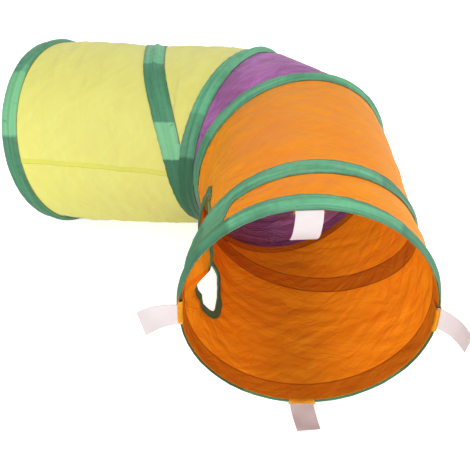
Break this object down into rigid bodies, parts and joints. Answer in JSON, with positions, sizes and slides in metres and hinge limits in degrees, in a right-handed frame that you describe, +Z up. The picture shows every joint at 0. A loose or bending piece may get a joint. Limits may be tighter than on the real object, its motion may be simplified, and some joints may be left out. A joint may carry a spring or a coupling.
{
  "type": "cat tunnel",
  "caption": "Bent crinkle-cloth cat tunnel: two round cloth arms on sprung wire hoops joined by a folding bend, with an oval peephole and fastening tabs.",
  "frame": {"origin": "centre of the tunnel's overall plan, on the floor", "axes": "+Z up, the front mouth faces -Y, the rear end faces -X, as the tunnel stands open on the floor"},
  "size_m": [0.522, 0.5504, 0.2607],
  "materials": {
    "orange_cloth": "crinkled",
    "purple_cloth": "crinkled",
    "yellow_cloth": "crinkled",
    "green_tape": "woven",
    "tab_white": "woven",
    "spring_wire": "drawn",
    "ferrule_metal": "plated"
  },
  "bodies": {
    "bend": {"front_bend_tape": "green_tape", "front_bend_wire": "spring_wire", "front_bend_ferrule": "ferrule_metal", "purple_panel": "purple_cloth"},
    "front_turn": {"orange_panel": "orange_cloth", "peephole_binding": "green_tape", "front_turn_tape": "green_tape", "front_turn_wire": "spring_wire"},
    "front_mouth": {"front_mouth_tape": "green_tape", "front_mouth_wire": "spring_wire", "front_mouth_ferrule": "ferrule_metal", "tab_left_root": "tab_white", "tab_top_root": "tab_white", "tab_right_root": "tab_white", "tab_bottom_root": "tab_white"},
    "rear_bend": {"rear_bend_tape": "green_tape", "rear_bend_wire": "spring_wire", "rear_bend_ferrule": "ferrule_metal"},
    "rear_turn": {"yellow_panel": "yellow_cloth", "rear_turn_tape": "green_tape", "rear_turn_wire": "spring_wire"},
    "rear_end": {"rear_end_tape": "green_tape", "rear_end_wire": "spring_wire", "rear_end_ferrule": "ferrule_metal"},
    "tab_left": {"tab_left_flap": "tab_white"},
    "tab_top": {"tab_top_flap": "tab_white"},
    "tab_right": {"tab_right_flap": "tab_white"},
    "tab_bottom": {"tab_bottom_flap": "tab_white"}
  },
  "joints": [
    {"name": "bend_fold", "type": "hinge", "parent": "bend", "child": "rear_bend", "pos_m": [-0.01405, 0.01549, 0.1301], "axis": [0, 0, 1], "range_deg": [-37, 0], "deforming": ["purple_panel"]},
    {"name": "front_collapse", "type": "slide", "parent": "front_turn", "child": "front_mouth", "axis": [0, 1, 0], "range_m": [0, 0.195], "stiffness_N_per_m": 40, "deforming": ["orange_panel", "peephole_binding", "front_turn_tape", "front_turn_wire"]},
    {"name": "front_swing", "type": "hinge", "parent": "bend", "child": "front_turn", "pos_m": [-0.00981, 0.00319, 0.1301], "axis": [0, 0, 1], "range_deg": [0, 19.01]},
    {"name": "rear_collapse", "type": "slide", "parent": "rear_turn", "child": "rear_end", "axis": [0.9996, 0, -0.03], "range_m": [0, 0.18], "stiffness_N_per_m": 40, "deforming": ["yellow_panel", "rear_turn_tape", "rear_turn_wire"]},
    {"name": "rear_swing", "type": "hinge", "parent": "rear_bend", "child": "rear_turn", "pos_m": [-0.00805, 0.04858, 0.04555], "axis": [0.3506, 0.5398, -0.7653], "range_deg": [0, 18.06]},
    {"name": "tab_left_fold", "type": "hinge", "parent": "front_mouth", "child": "tab_left", "pos_m": [-0.01279, -0.23654, 0.1301], "axis": [0, 0, 1], "range_deg": [-5, 120]},
    {"name": "tab_top_fold", "type": "hinge", "parent": "front_mouth", "child": "tab_top", "pos_m": [0.10641, -0.23642, 0.25533], "axis": [-0.9986, 0, -0.0523], "range_deg": [0, 135]},
    {"name": "tab_right_fold", "type": "hinge", "parent": "front_mouth", "child": "tab_right", "pos_m": [0.23866, -0.23628, 0.1301], "axis": [0, 0, -1], "range_deg": [-32, 110]},
    {"name": "tab_bottom_fold", "type": "hinge", "parent": "front_mouth", "child": "tab_bottom", "pos_m": [0.11299, -0.23641, 0.0047], "axis": [-1, 0, 0], "range_deg": [0, 86]}
  ],
  "couplings": [
    {"joint": "front_swing", "follows": "front_collapse", "rad_per_m": 1.7006},
    {"joint": "rear_swing", "follows": "rear_collapse", "rad_per_m": 1.7496}
  ]
}
